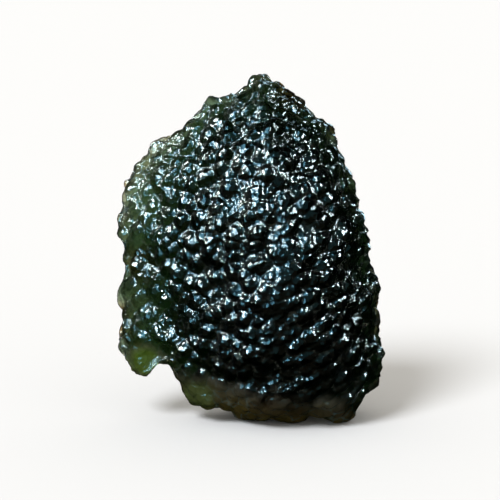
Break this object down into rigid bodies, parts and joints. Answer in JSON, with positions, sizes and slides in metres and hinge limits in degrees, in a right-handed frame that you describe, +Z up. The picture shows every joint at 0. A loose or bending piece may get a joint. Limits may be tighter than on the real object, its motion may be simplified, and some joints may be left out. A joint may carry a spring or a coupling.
{
  "type": "raw moldavite",
  "caption": "Raw moldavite: a dark green, translucent natural glass stone, etched all over into sharp-ridged cups, standing on its broad lower end.",
  "frame": {"origin": "middle of the bounding box's lower face, on the ground that the stone stands on", "axes": "+Z up along the stone's length to its peak, -Y out of its fuller face, +X to the right of someone who looks at that face"},
  "size_m": [0.031, 0.0164, 0.0401],
  "materials": {
    "moldavite_glass": "natural glass with an etched, glossy skin"
  },
  "bodies": {
    "root": {"moldavite": "moldavite_glass"}
  },
  "joints": []
}
